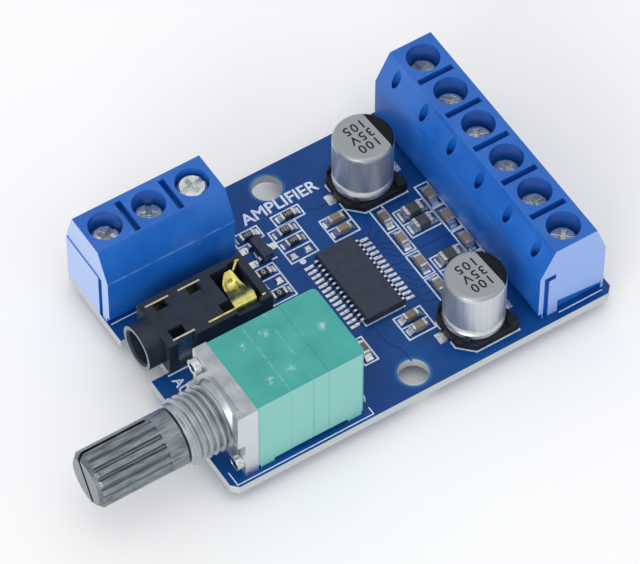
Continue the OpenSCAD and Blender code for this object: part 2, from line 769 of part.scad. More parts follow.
// both rows of places along the amplifier chip, X pointing outwards from the body's side
module chip_rows() {
  for (s = [0, 180], k = [0 : chip_leads - 1]) rotate(s) {
    translate([chip_w / 2, (k - (chip_leads - 1) / 2) * chip_pitch, 0]) children();
  }
}

// gull-wing lead: out of the body, down, and flat on the pad
module gull(w, z, reach, t) {
  a = 0.25 * reach;
  b = 0.5 * reach;
  translate([0, w / 2, pad_t]) rotate([90, 0, 0]) linear_extrude(w) polygon([[0, z - t], [0, z], [a + t / 2, z],
    [b + t / 2, t], [reach, t], [reach, 0], [b - t / 2, 0], [a - t / 2, z - t]]);
}

module amplifier_chip() {
  h = chip_h;
  color("#3a4048") on_board(chip_at) difference() {
    hull() {
      translate([-chip_w / 2, -chip_l / 2, lead_z - lead_t - 0.02]) cube([chip_w, chip_l, 0.24]);
      translate([0.12 - chip_w / 2, 0.12 - chip_l / 2, 0.1]) cube([chip_w - 0.24, chip_l - 0.24, h]);
    }
    translate([-chip_w / 2 + 0.75, chip_l / 2 - 0.75, h + 0.05]) cylinder(d = 0.7, h = 1);
  }
}

module amplifier_leads() {
  color("#c9ccd0") on_board(chip_at) chip_rows() gull(lead_w, lead_z, lead_reach, lead_t);
}

// three places round the transistor: two leads on -X, one on +X
module transistor_rows() {
  for (y = [-0.95, 0.95]) rotate(180) translate([0.65, y, 0]) children();
  translate([0.65, 0, 0]) children();
}

module transistor_body() {
  color("#33353c") on_board(transistor_at) hull() {
    translate([-0.65, -1.45, 0.4]) cube([1.3, 2.9, 0.24]);
    translate([-0.55, -1.35, 0.1]) cube([1.1, 2.7, 1]);
  }
}

module transistor_leads() {
  color("#c9ccd0") on_board(transistor_at) transistor_rows() gull(0.42, 0.52, 0.62, 0.13);
}

// body of a chip part between its two metal ends
module chip_core(l, w, h, end) {
  translate([end - l / 2, -w / 2, 0]) cube([l - 2 * end, w, h]);
}

module chip_ends(l, w, h, end) {
  for (s = [0, 180]) rotate(s) translate([l / 2 - end, -w / 2, 0]) cube([end, w, h]);
}

module chip_resistors() {
  color("#2d2f33") for (p = resistors_at) on_board(p) chip_core(small_l, small_w, small_res_h, small_end);
}

module chip_capacitors() {
  color("#a08c76") {
    for (p = caps_x_at) on_board(p) chip_core(small_l, small_w, small_cap_h, small_end);
    for (p = caps_y_at) on_board(p) rotate(90) chip_core(small_l, small_w, small_cap_h, small_end);
  }
}

module ferrite_beads() {
  color("#505457") for (p = beads_at) on_board(p) chip_core(bead_l, bead_w, bead_h, bead_end);
}

module chip_terminations() {
  color("#c2c0bc") {
    for (p = resistors_at) on_board(p) chip_ends(small_l, small_w, small_res_h, small_end);
    for (p = caps_x_at) on_board(p) chip_ends(small_l, small_w, small_cap_h, small_end);
    for (p = caps_y_at) on_board(p) rotate(90) chip_ends(small_l, small_w, small_cap_h, small_end);
    for (p = beads_at) on_board(p) chip_ends(bead_l, bead_w, bead_h, bead_end);
  }
}

circuit_board();
through_solder();
chip_solder();
speaker_terminal_housing();
power_terminal_housing();
speaker_terminal_clamps();
power_terminal_clamps();
speaker_plate(1);  // speaker_plate_1
speaker_plate(2);  // speaker_plate_2
speaker_plate(3);  // speaker_plate_3
speaker_plate(4);  // speaker_plate_4
speaker_plate(5);  // speaker_plate_5
speaker_plate(6);  // speaker_plate_6
speaker_screw(1);  // speaker_screw_1
speaker_screw(2);  // speaker_screw_2
speaker_screw(3);  // speaker_screw_3
speaker_screw(4);  // speaker_screw_4
speaker_screw(5);  // speaker_screw_5
speaker_screw(6);  // speaker_screw_6
power_plate(1);  // power_plate_1
power_plate(2);  // power_plate_2
power_plate(3);  // power_plate_3
power_screw(1);  // power_screw_1
power_screw(2);  // power_screw_2
power_screw(3);  // power_screw_3
jack_body();
jack_tip_spring();
jack_tip_switch();
jack_sleeve_contact();
jack_ring_contact();
jack_ring_switch();
pot_front_casting();
pot_shaft();
pot_front_case();
pot_front_wafer();
pot_rear_wafer();
pot_rear_case();
pot_rivets();
pot_terminals();
pot_front_rotor();
pot_rear_rotor();
pot_wipers();
capacitor_1_can();
capacitor_1_base();
capacitor_1_leads();
capacitor_2_can();
capacitor_2_base();
capacitor_2_leads();
amplifier_chip();
amplifier_leads();
chip_resistors();
chip_capacitors();
ferrite_beads();
chip_terminations();
transistor_body();
transistor_leads();
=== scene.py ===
import json
import math

import bpy
from mathutils import Matrix, Vector

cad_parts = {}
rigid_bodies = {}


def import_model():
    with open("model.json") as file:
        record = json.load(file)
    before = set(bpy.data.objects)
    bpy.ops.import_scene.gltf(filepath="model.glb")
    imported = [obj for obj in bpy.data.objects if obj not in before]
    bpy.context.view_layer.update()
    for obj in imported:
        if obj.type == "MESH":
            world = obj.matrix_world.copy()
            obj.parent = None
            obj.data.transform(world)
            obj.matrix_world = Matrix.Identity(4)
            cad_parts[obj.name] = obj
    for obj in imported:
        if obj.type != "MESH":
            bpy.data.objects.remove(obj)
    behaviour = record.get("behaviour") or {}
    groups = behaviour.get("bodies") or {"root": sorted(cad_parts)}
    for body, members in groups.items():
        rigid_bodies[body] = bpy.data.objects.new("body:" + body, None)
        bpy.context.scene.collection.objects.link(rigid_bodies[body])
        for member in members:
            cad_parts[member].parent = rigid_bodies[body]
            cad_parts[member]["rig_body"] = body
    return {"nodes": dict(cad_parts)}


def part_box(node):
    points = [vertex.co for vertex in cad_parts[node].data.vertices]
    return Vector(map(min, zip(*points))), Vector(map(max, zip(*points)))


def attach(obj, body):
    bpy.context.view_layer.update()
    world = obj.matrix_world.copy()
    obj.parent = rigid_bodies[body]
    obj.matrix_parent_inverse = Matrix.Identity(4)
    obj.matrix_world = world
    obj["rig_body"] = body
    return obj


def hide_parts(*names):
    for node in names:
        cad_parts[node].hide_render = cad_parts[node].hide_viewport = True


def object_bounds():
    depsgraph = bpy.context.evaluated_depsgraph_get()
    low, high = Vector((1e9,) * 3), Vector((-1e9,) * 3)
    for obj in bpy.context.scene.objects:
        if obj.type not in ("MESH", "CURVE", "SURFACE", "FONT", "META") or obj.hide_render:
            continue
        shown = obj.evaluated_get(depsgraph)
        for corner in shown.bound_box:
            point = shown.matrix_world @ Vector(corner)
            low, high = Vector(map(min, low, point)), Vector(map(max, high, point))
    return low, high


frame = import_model()
cad_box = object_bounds()


# Studio: a white table in an evenly pale room, with a large soft lamp low at the left and a weaker one high
# above the front, as in a product picture on white. Nothing here belongs to the board itself.
MM = 0.001
# the camera's place, its right and up directions, and its lens and sensor in millimetres
EYE = Vector((-163.025, -249.22, 406.004)) * MM
EYE_RIGHT = Vector((0.84214, -0.53926, 0.00244))
EYE_UP = Vector((0.43339, 0.67949, 0.592))
EYE_LENS = 283.87
EYE_SENSOR = 36
TABLE_SIZE = 6.0
LEFT_LAMP = (-1.05, -0.75, 0.4)
FRONT_LAMP = (-0.1, -0.3, 1.5)


def tone(code):
    """Turns an sRGB hex colour into a linear one."""
    parts = [int(code[i:i + 2], 16) / 255 for i in (1, 3, 5)]
    return tuple(c / 12.92 if c <= 0.04045 else ((c + 0.055) / 1.055) ** 2.4 for c in parts) + (1.0,)


def add(finish, kind, inputs=None, stops=(), **settings):
    """Adds a node, or takes one that is there, and gives it its settings, values, links and colour stops."""
    tree = finish.node_tree
    step = tree.nodes.new(kind) if isinstance(kind, str) else kind
    for name, value in settings.items():
        setattr(step, name, value)
    for name, value in (inputs or {}).items():
        if isinstance(value, bpy.types.NodeSocket):
            tree.links.new(value, step.inputs[name])
        else:
            step.inputs[name].default_value = value
    for k, (place, colour) in enumerate(stops):
        step.color_ramp.elements[k].position = place
        step.color_ramp.elements[k].color = tone(colour)
    return step


def new_finish(name):
    """Starts a material and gives it back with its shader."""
    finish = bpy.data.materials.new(name)
    finish.use_nodes = True
    return finish, finish.node_tree.nodes["Principled BSDF"]


def softbox(name, place, size, watts):
    """A square lamp that looks at the middle of the board."""
    lamp = bpy.data.objects.new(name, bpy.data.lights.new(name, "AREA"))
    lamp.data.size = size
    lamp.data.energy = watts
    lamp.location = place
    lamp.rotation_euler = (-Vector(place)).to_track_quat("-Z", "Y").to_euler()
    bpy.context.collection.objects.link(lamp)


eye = bpy.data.objects.new("studio_camera", bpy.data.cameras.new("studio_camera"))
eye.data.sensor_width = EYE_SENSOR
eye.data.sensor_fit = "HORIZONTAL"
eye.data.lens = EYE_LENS
eye_turn = Matrix((EYE_RIGHT, EYE_UP, EYE_RIGHT.cross(EYE_UP))).transposed().to_4x4()
eye.matrix_world = Matrix.Translation(EYE) @ eye_turn
bpy.context.collection.objects.link(eye)
bpy.context.scene.camera = eye
bpy.context.scene.view_settings.view_transform = "Standard"

bpy.ops.object.select_all(action="DESELECT")
bpy.ops.mesh.primitive_plane_add(size=TABLE_SIZE, location=(0, 0, cad_box[0].z))
table = bpy.context.object
table.name = "studio_table"
# plain matt white, which gives the picture its white ground and keeps the shadow soft
card, card_shader = new_finish("white card")
add(card, card_shader, {"Base Color": tone("#fcfcfc"), "Roughness": 0.9, "Specular IOR Level": 0.1})
table.data.materials.append(card)

room = bpy.data.worlds.new("studio_room")
room.use_nodes = True
add(room, room.node_tree.nodes["Background"], {"Color": tone("#fafbfd"), "Strength": 0.84})
bpy.context.scene.world = room
softbox("lamp_left", LEFT_LAMP, 0.8, 7.2)
softbox("lamp_above_front", FRONT_LAMP, 1.0, 2.6)


# Circuit board: glass-epoxy laminate, routed to shape, with copper under a glossy blue solder mask on both
# sides. The cut edge stays bare and shows the pale resin and its layers of glass cloth.
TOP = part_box("circuit_board")[1].z
MOUNT_HOLES = ((0, 13.5), (0, -13.5))
HOLE_R = 1.6
MASK_STOP_R = 2.0
POOL_W = 6.0
PLY_T = 0.18
GRIT_W = 0.35
WEAVE_W = 0.5


def overlay(finish, share, colour):
    """Lays a second colour over a finish, as much as the share says."""
    shader = finish.node_tree.nodes["Principled BSDF"]
    under = shader.inputs["Base Color"].links[0].from_socket
    mix = add(finish, "ShaderNodeMix", {0: share, 6: under, 7: tone(colour)}, data_type="RGBA")
    add(finish, shader, {"Base Color": mix.outputs[2]})


def spotted(finish, places, near, far, share, where, colour):
    """Lays a colour round places on the board, fading from a near to a far distance in millimetres.

    A second share, called where, limits it to a part of the surface."""
    at = add(finish, "ShaderNodeTexCoord")
    flat = add(finish, "ShaderNodeVectorMath", {0: at.outputs["Object"], 1: (1, 1, 0)}, operation="MULTIPLY")
    for x, y in places:
        away = add(finish, "ShaderNodeVectorMath", {0: flat.outputs["Vector"], 1: (x * MM, y * MM, 0)},
                   operation="DISTANCE")
        fade = add(finish, "ShaderNodeMapRange", {"Value": away.outputs["Value"], "From Min": near * MM,
                                                  "From Max": far * MM, "To Min": share, "To Max": 0.0})
        both = add(finish, "ShaderNodeMath", {0: fade.outputs[0], 1: where}, operation="MULTIPLY")
        overlay(finish, both.outputs[0], colour)


def coat(node, finish):
    """Gives the mesh of a CAD node its finish."""
    frame["nodes"][node].data.materials[0] = finish


# deep glossy blue in soft patches, with a dull, pale and finely banded edge
mask, mask_shader = new_finish("blue solder mask on glass epoxy")
spot = add(mask, "ShaderNodeTexCoord")
face = add(mask, "ShaderNodeNewGeometry")
face_axis = add(mask, "ShaderNodeSeparateXYZ", {"Vector": face.outputs["Normal"]})
face_flat = add(mask, "ShaderNodeMath", {0: face_axis.outputs["Z"]}, operation="ABSOLUTE")
on_face = add(mask, "ShaderNodeMath", {0: face_flat.outputs[0], 1: 0.6}, operation="GREATER_THAN")
# the mask pools a little thicker over some copper
pool = add(mask, "ShaderNodeTexNoise", {"Vector": spot.outputs["Object"], "Scale": 1 / (POOL_W * MM),
                                        "Detail": 2.0})
mask_tint = add(mask, "ShaderNodeValToRGB", {"Fac": pool.outputs["Fac"]},
                stops=((0.3, "#043c7e"), (0.75, "#0a4b92")))
# the plies of glass cloth show as bands on the cut edge
spot_axis = add(mask, "ShaderNodeSeparateXYZ", {"Vector": spot.outputs["Object"]})
ply = add(mask, "ShaderNodeMath", {0: spot_axis.outputs["Z"], 1: 2 * math.pi / (PLY_T * MM)},
          operation="MULTIPLY")
ply_wave = add(mask, "ShaderNodeMath", {0: ply.outputs[0]}, operation="SINE")
ply_grit = add(mask, "ShaderNodeTexNoise", {"Vector": spot.outputs["Object"], "Scale": 1 / (GRIT_W * MM)})
ply_mix = add(mask, "ShaderNodeMath", {0: ply_wave.outputs[0], 1: ply_grit.outputs["Fac"]},
              operation="MULTIPLY")
edge_tint = add(mask, "ShaderNodeValToRGB", {"Fac": ply_mix.outputs[0]},
                stops=((0.0, "#b2b8ba"), (1.0, "#d6d9d8")))
mask_colour = add(mask, "ShaderNodeMix", {0: on_face.outputs[0], 6: edge_tint.outputs["Color"],
                                          7: mask_tint.outputs["Color"]}, data_type="RGBA")
mask_gloss = add(mask, "ShaderNodeMapRange", {"Value": on_face.outputs[0], "To Min": 0.75, "To Max": 0.3})
# the weave of the cloth lifts the mask by a few micrometres
weave = add(mask, "ShaderNodeTexNoise", {"Vector": spot.outputs["Object"], "Scale": 1 / (WEAVE_W * MM)})
mask_relief = add(mask, "ShaderNodeBump", {"Height": weave.outputs["Fac"], "Strength": 0.12,
                                           "Distance": 0.02 * MM})
add(mask, mask_shader, {"Base Color": mask_colour.outputs[2], "Roughness": mask_gloss.outputs[0],
                        "Specular IOR Level": 0.25, "Normal": mask_relief.outputs["Normal"]})
# round each mounting hole the mask stops short, and the resin shows through in a narrow ring
spotted(mask, MOUNT_HOLES, HOLE_R, MASK_STOP_R, 0.6, on_face.outputs[0], "#3f86ae")
coat("circuit_board", mask)


# Etched gaps and tracks: where copper was etched away the mask lies on bare resin and looks darker, so the
# edges of the copper pour and of the tracks to the chip show as thin dark lines under the mask.
TRACK_W = 0.16
TRACK_H = 0.006
THIN_W = 1.0
tracks = [
    [(9.9, 12.3), (11.2, 12.3), (12.2, 11.4)],
    [(-9.6, 6.1), (-8.3, 6.1), (-7.9, 5.7)],
    [(-3.2, 3.2), (-2.2, 3.2)],
    [(5.1, 2.7), (6.2, 3.8), (6.2, 4.9)],
    [(5.1, 2.05), (6.5, 2.9), (6.9, 2.9)],
    [(5.1, 1.4), (6.2, 1.4), (6.9, 0.9)],
    [(5.1, 0.75), (6.0, 0.75), (6.9, -0.3)],
    [(5.1, 0.1), (5.7, 0.1), (6.5, -0.8), (6.9, -0.8)],
    [(5.1, -1.2), (6.0, -1.6), (6.9, -1.6)],
    [(5.1, -1.85), (5.8, -2.2), (6.6, -3.1), (6.9, -3.1)],
    [(5.1, -2.5), (5.7, -2.9), (6.3, -4.2), (6.9, -4.2)],
    [(5.1, -3.8), (5.6, -4.1), (6.1, -5.2), (6.9, -5.2)],
    [(5.1, -4.45), (5.5, -5.0), (5.9, -6.2), (6.9, -6.2)],
    [(5.1, -5.1), (5.3, -5.9), (5.6, -6.9), (7.0, -7.3)],
    [(3.0, 3.6), (3.0, 3.95)],
    [(-0.3, -6.9), (-0.3, -9.0), (0.6, -10.6), (0.6, -12.2)],
    [(0.4, -6.9), (1.2, -7.6)],
    [(-3.4, -3.6), (-2.6, -3.6)],
    [(-2.4, -6.2), (-3.3, -6.9)],
    [(2.6, 12.9), (4.6, 10.3), (4.6, 8.1)],
    [(-8.7, 10.6), (-7.7, 9.4), (-7.0, 9.4)],
    [(1.7, 9.1), (2.9, 8.6), (4.4, 8.6)],
    [(14.1, 8.4), (12.4, 8.4), (11.9, 7.3)],
    [(9.0, -1.1), (12.5, -1.1)],
    [(9.2, 5.0), (12.4, 5.0)],
]


def pick(obj):
    """Makes one object the only selected one, and the active one."""
    bpy.ops.object.select_all(action="DESELECT")
    obj.select_set(True)
    bpy.context.view_layer.objects.active = obj


def empty_piece(name):
    """A new object with an empty mesh, open for modelling."""
    piece = bpy.data.objects.new(name, bpy.data.meshes.new(name))
    bpy.context.collection.objects.link(piece)
    pick(piece)
    bpy.ops.object.mode_set(mode="EDIT")
    return piece


def stroke(points, width, height):
    """Adds a flat bar for each leg of a line on the board, in millimetres, every other one a hair higher."""
    for k, ((x0, y0), (x1, y1)) in enumerate(zip(points, points[1:])):
        run = math.hypot(x1 - x0, y1 - y0)
        tall = height * (1 + 0.2 * (k % 2))
        bpy.ops.mesh.primitive_cube_add(
            size=1, location=((x0 + x1) / 2 * MM, (y0 + y1) / 2 * MM, TOP + tall / 2 * MM),
            rotation=(0, 0, math.atan2(y1 - y0, x1 - x0)),
            scale=((run + width) * MM, width * MM, tall * MM))


def round_ends(piece, width):
    """Rounds the ends of all bars of a piece, as etching and screening leave them."""
    bpy.ops.mesh.select_mode(type="EDGE")
    bpy.ops.mesh.select_all(action="DESELECT")
    bpy.ops.object.mode_set(mode="OBJECT")
    for edge in piece.data.edges:
        a, b = (piece.data.vertices[i].co for i in edge.vertices)
        edge.select = abs(a.z - b.z) > 0.5 * (a - b).length
    bpy.ops.object.mode_set(mode="EDIT")
    bpy.ops.mesh.bevel(offset=0.45 * width * MM, segments=3, affect="EDGES")
    bpy.ops.mesh.select_mode(type="VERT")


def close_piece(piece, body, finish):
    """Ends the modelling of a piece and fixes it to its body."""
    bpy.ops.object.mode_set(mode="OBJECT")
    piece.data.materials.clear()
    piece.data.materials.append(finish)
    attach(piece, body)


gaps = empty_piece("etched_gaps")
for line in tracks:
    stroke(line, TRACK_W, TRACK_H)
round_ends(gaps, TRACK_W)
# a darker blue than round it, and uneven where the mask thins at the etched edge
bare, bare_shader = new_finish("blue solder mask on bare resin")
spot = add(bare, "ShaderNodeTexCoord")
thin = add(bare, "ShaderNodeTexNoise", {"Vector": spot.outputs["Object"], "Scale": 1 / (THIN_W * MM)})
bare_tint = add(bare, "ShaderNodeValToRGB", {"Fac": thin.outputs["Fac"]},
                stops=((0.0, "#04286a"), (1.0, "#0a3c86")))
add(bare, bare_shader, {"Base Color": bare_tint.outputs["Color"], "Roughness": 0.35,
                        "Specular IOR Level": 0.25})
close_piece(gaps, "board", bare)


# Legend: white epoxy ink screened on the mask in lines under 0.2 mm wide. It frames each part and marks the
# first lead of the chip, and plain words name the board and its input.
INK_W = 0.17
INK_H = 0.012
INK_OVER_H = 1.1 * INK_H
FOOT_W = 0.12
SCREEN_W = 0.3
DOT_R = 0.33
DOT_AT = (-1.88, 3.76)
CANS = ("capacitor_1", "capacitor_2")
CAN_FRAME = 3.3
boxes = [
    (2.15, 4.07, 5.13, 7.08), (7.1, 2.13, 8.53, 5.49), (7.1, -4.4, 8.53, -1.26), (7.1, -7.8, 8.53, -4.67),
    (12.6, 2.4, 14.07, 5.55), (12.6, -1.0, 14.07, 2.27), (12.6, -4.4, 14.07, -1.2),
    (12.6, -7.8, 14.07, -4.6), (8.97, 0.33, 12.53, 3.99), (8.97, -6.5, 12.53, -2.75),
    (-1.73, 8.7, 1.5, 10.12), (-2.97, 4.1, 0.2, 8.6), (-6.5, 8.57, -3.43, 10.08), (-7.5, 0.7, -4.5, 5.3),
    (1.82, -10.05, 4.96, -7.06), (-3.56, -10.27, -2.0, -7.1),
]
lines = [
    [(2.15, 5.6), (5.13, 5.6)],
    [(8.97, 2.12), (12.53, 2.12)],
    [(8.97, -4.63), (12.53, -4.63)],
    [(-2.97, 7.12), (0.2, 7.12)],
    [(-2.97, 5.53), (0.2, 5.53)],
    [(-7.5, 3.8), (-4.5, 3.8)],
    [(-7.5, 2.31), (-4.5, 2.31)],
    [(1.82, -8.55), (4.96, -8.55)],
    [(-6.5, 8.6), (-5.33, 8.6)],
    [(-5.41, 7.31), (-5.48, 6.69)],
    [(-4.3, 5.64), (-3.78, 5.64)],
    [(3.7, -6.3), (-0.85, -6.3), (-0.85, -5.5)],
    [(0.2, 3.36), (3.5, 3.36)],
    [(-20.5, -0.95), (-8.0, -0.95), (-8.0, 5.55)],
    [(7.1, 2.13), (7.1, -0.95), (8.53, -0.95), (8.53, 2.13)],
]
# the first two foot lines, along the feet of the power and speaker housings, are partly legend ink and partly
# a painted highlight on the housings' bottom edges
foot_lines = [
    [(-22.0, 7.42), (-7.4, 7.42)],
    [(16.2, -15.15), (21.3, -15.15)],
    [(-21.64, -13.9), (-21.64, -15.55), (-6.0, -15.55), (-6.0, -14.7)],
]


def middle(node):
    """The middle of a CAD node's box, in millimetres."""
    low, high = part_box(node)
    return (low + high) / (2 * MM)


# each capacitor's frame has two cut corners and stays open where the leads come out
for name in CANS:
    cx, cy = middle(name + "_can").xy
    for side in (-1, 1):
        lines.append([(cx + CAN_FRAME, cy + 1.3 * side), (cx + CAN_FRAME, cy + CAN_FRAME * side),
                      (cx - 1.75, cy + CAN_FRAME * side), (cx - CAN_FRAME, cy + 1.75 * side),
                      (cx - CAN_FRAME, cy + 0.95 * side)])
legend = empty_piece("legend_lines")
for x0, y0, x1, y1 in boxes:
    stroke([(x0, y0), (x1, y0), (x1, y1), (x0, y1), (x0, y0)], INK_W, INK_H)
for line in lines:
    stroke(line, INK_W, INK_OVER_H)
for line in foot_lines:
    stroke(line, FOOT_W, INK_H)
round_ends(legend, FOOT_W)
bpy.ops.mesh.primitive_cylinder_add(vertices=24, radius=DOT_R * MM, depth=2 * INK_H * MM,
                                    location=(DOT_AT[0] * MM, DOT_AT[1] * MM, TOP))
bpy.ops.mesh.bevel(offset=0.5 * INK_H * MM, segments=2, affect="EDGES")
# chalky white, bluish where the mesh of the screen let less ink through
ink, ink_shader = new_finish("white legend ink")
spot = add(ink, "ShaderNodeTexCoord")
ink_lay = add(ink, "ShaderNodeTexNoise", {"Vector": spot.outputs["Object"], "Scale": 1 / (SCREEN_W * MM),
                                          "Detail": 3.0})
ink_tint = add(ink, "ShaderNodeValToRGB", {"Fac": ink_lay.outputs["Fac"]},
               stops=((0.25, "#b4c6ec"), (0.55, "#e2eaf9")))
add(ink, ink_shader, {"Base Color": ink_tint.outputs["Color"], "Roughness": 0.5})
close_piece(legend, "board", ink)


def lettering(name, words, size, places, turn, bold, thick, finish, spread=1.0):
    """Printed words as a thin mesh, made once and copied to each place, in millimetres and degrees about Z.

    They are made a thousand times too large and then shrunk, and a low bevel makes them bolder."""
    bpy.ops.object.select_all(action="DESELECT")
    bpy.ops.object.text_add()
    word = bpy.context.object
    word.data.body = words
    word.data.align_x = "CENTER"
    word.data.align_y = "CENTER"
    word.data.size = size
    word.data.space_character = spread
    word.data.bevel_depth = bold
    word.data.bevel_resolution = 0
    word.data.extrude = thick
    word.data.resolution_u = 3
    bpy.ops.object.convert(target="MESH")
    word = bpy.context.object
    bpy.ops.object.mode_set(mode="EDIT")
    bpy.ops.mesh.select_all(action="SELECT")
    bpy.ops.transform.resize(value=(MM, MM, MM * thick / (thick + bold)), center_override=(0, 0, 0))
    bpy.ops.transform.rotate(value=-math.radians(turn), orient_axis="Z", center_override=(0, 0, 0))
    bpy.ops.object.mode_set(mode="OBJECT")
    copies = [word]
    while len(copies) < len(places):
        copies.append(bpy.data.objects.new(name, word.data.copy()))
        bpy.context.collection.objects.link(copies[-1])
    for k, (copy, place) in enumerate(zip(copies, places)):
        copy.name = "%s_%d" % (name, k + 1)
        pick(copy)
        bpy.ops.object.mode_set(mode="EDIT")
        bpy.ops.mesh.select_all(action="SELECT")
        bpy.ops.transform.translate(value=Vector(place) * MM)
        close_piece(copy, "board", finish)


lettering("legend_name", "AMPLIFIER", 1.95, [(0.05, 11.2, TOP / MM)], 0, 0.045, INK_H, ink)
lettering("legend_input", "AUDIO", 1.5, [(-20.1, -4.0, TOP / MM)], -90, 0.035, INK_H, ink)


# Solder: tin alloy, wave-soldered into joints under the board and reflowed into fillets on the pads. It froze
# bright, with a slightly wrinkled skin.
def mottled(name, dark, pale, rough, patch, detail, grain=None):
    """Starts a finish with two tones in patches of a size in millimetres, and a roughness that follows them.

    A grain stretches the patches along an axis. The field that the patches read is given back too."""
    finish, shader = new_finish(name)
    field = add(finish, "ShaderNodeTexCoord").outputs["Object"]
    if grain:
        field = add(finish, "ShaderNodeMapping", {"Vector": field, "Scale": grain}).outputs["Vector"]
    cloud = add(finish, "ShaderNodeTexNoise", {"Vector": field, "Scale": 1 / (patch * MM), "Detail": detail})
    tint = add(finish, "ShaderNodeValToRGB", {"Fac": cloud.outputs["Fac"]}, stops=((0.3, dark), (0.7, pale)))
    polish = add(finish, "ShaderNodeMapRange", {"Value": cloud.outputs["Fac"], "From Min": 0.3,
                                                "From Max": 0.7, "To Min": rough[0], "To Max": rough[1]})
    add(finish, shader, {"Base Color": tint.outputs["Color"], "Roughness": polish.outputs[0]})
    return finish, shader, field


def metal(name, dark, pale, rough, patch, bump, grain=None, purity=1.0):
    """A metal finish, with a skin that is four times finer than its patches: millimetres."""
    finish, shader, field = mottled(name, dark, pale, rough, patch, 4.0, grain)
    skin = add(finish, "ShaderNodeTexNoise", {"Vector": field, "Scale": 4 / (patch * MM), "Detail": 3.0})
    relief = add(finish, "ShaderNodeBump", {"Height": skin.outputs["Fac"], "Strength": 0.5,
                                            "Distance": bump * MM})
    add(finish, shader, {"Metallic": purity, "Normal": relief.outputs["Normal"]})
    return finish


# bright and slightly wrinkled, so that each fillet breaks the light differently
solder = metal("bright solder", "#b2b6b8", "#f4f5f6", (0.1, 0.28), 0.5, 0.05)
coat("through_solder", solder)
coat("chip_solder", solder)


# Screw terminals: blue polyamide mouldings with a well for each screw, a slot between poles and a mouth for
# each wire. They stand on the board and interlock by a groove and a tongue at their ends.
PORE_W = 0.25
HOUSING_EDGE = 0.09
# how far in from a housing's outer end the painted highlight reaches, in millimetres
HIGHLIGHT_END_DEPTH = 0.3
SLOPE_FOOT = TOP / MM + 6.6
speaker_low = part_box("speaker_terminal_housing")[0]
power_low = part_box("power_terminal_housing")[0]


def rounded(node, width, segments=2):
    """A copy of a CAD node whose sharp edges are rounded, as moulding or stamping leaves them."""
    source = frame["nodes"][node]
    copy = bpy.data.objects.new(node + "_rounded", source.data.copy())
    bpy.context.collection.objects.link(copy)
    pick(copy)
    bpy.ops.object.mode_set(mode="EDIT")
    bpy.ops.mesh.select_all(action="SELECT")
    bpy.ops.mesh.remove_doubles(threshold=0.001 * MM)
    bpy.ops.mesh.customdata_custom_splitnormals_clear()
    bpy.ops.mesh.dissolve_limited(angle_limit=math.radians(2))
    bpy.ops.object.mode_set(mode="OBJECT")
    bpy.ops.object.shade_smooth_by_angle(angle=math.radians(30))
    edge = copy.modifiers.new("edge", "BEVEL")
    edge.width = width * MM
    edge.segments = segments
    edge.limit_method = "ANGLE"
    edge.angle_limit = math.radians(35)
    edge.use_clamp_overlap = True
    edge.harden_normals = True
    bpy.ops.object.modifier_apply(modifier="edge")
    return copy


def settle(piece, node, finish):
    """Gives a modelled copy of a CAD node its finish, fixes it to the node's body and hides the node."""
    body = frame["nodes"][node]["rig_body"]
    piece.data.materials.clear()
    piece.data.materials.append(finish)
    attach(piece, body)
    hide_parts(node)


def moulded(name, dark, pale, rough, patch, bump, shine=0.5):
    """A moulded finish, with pores that are drawn coarser than real ones so that they show: millimetres."""
    finish, shader, field = mottled(name, dark, pale, rough, patch, 3.0)
    pores = add(finish, "ShaderNodeTexNoise", {"Vector": field, "Scale": 1 / (PORE_W * MM)})
    relief = add(finish, "ShaderNodeBump", {"Height": pores.outputs["Fac"], "Strength": 0.2,
                                            "Distance": bump * MM})
    add(finish, shader, {"Specular IOR Level": shine, "Normal": relief.outputs["Normal"]})
    return finish


def scuffed(finish, colour, size, start):
    """Pale handling marks of a size in millimetres, fewer as the start rises."""
    at = add(finish, "ShaderNodeTexCoord")
    rub = add(finish, "ShaderNodeTexNoise", {"Vector": at.outputs["Object"], "Scale": 1 / (size * MM),
                                             "Detail": 5.0, "Roughness": 0.65})
    rubbed = add(finish, "ShaderNodeMapRange", {"Value": rub.outputs["Fac"], "From Min": start,
                                                "From Max": start + 0.12, "To Max": 0.6})
    overlay(finish, rubbed.outputs[0], colour)


def paint_highlight_face(finish, colour, way, reach, share):
    """Paints the outer faces that look one way paler, as a painted highlight: the way they look, how far out
    it starts in metres, and how pale it is.
    """
    at = add(finish, "ShaderNodeTexCoord")
    side = add(finish, "ShaderNodeNewGeometry")
    facing = add(finish, "ShaderNodeVectorMath", {0: side.outputs["Normal"], 1: way},
                 operation="DOT_PRODUCT")
    on_end = add(finish, "ShaderNodeMapRange", {"Value": facing.outputs["Value"], "From Min": 0.7,
                                                "From Max": 0.95, "To Max": share})
    out = add(finish, "ShaderNodeVectorMath", {0: at.outputs["Object"], 1: way}, operation="DOT_PRODUCT")
    far_out = add(finish, "ShaderNodeMath", {0: out.outputs["Value"], 1: reach}, operation="GREATER_THAN")
    both = add(finish, "ShaderNodeMath", {0: on_end.outputs[0], 1: far_out.outputs[0]},
               operation="MULTIPLY")
    overlay(finish, both.outputs[0], colour)


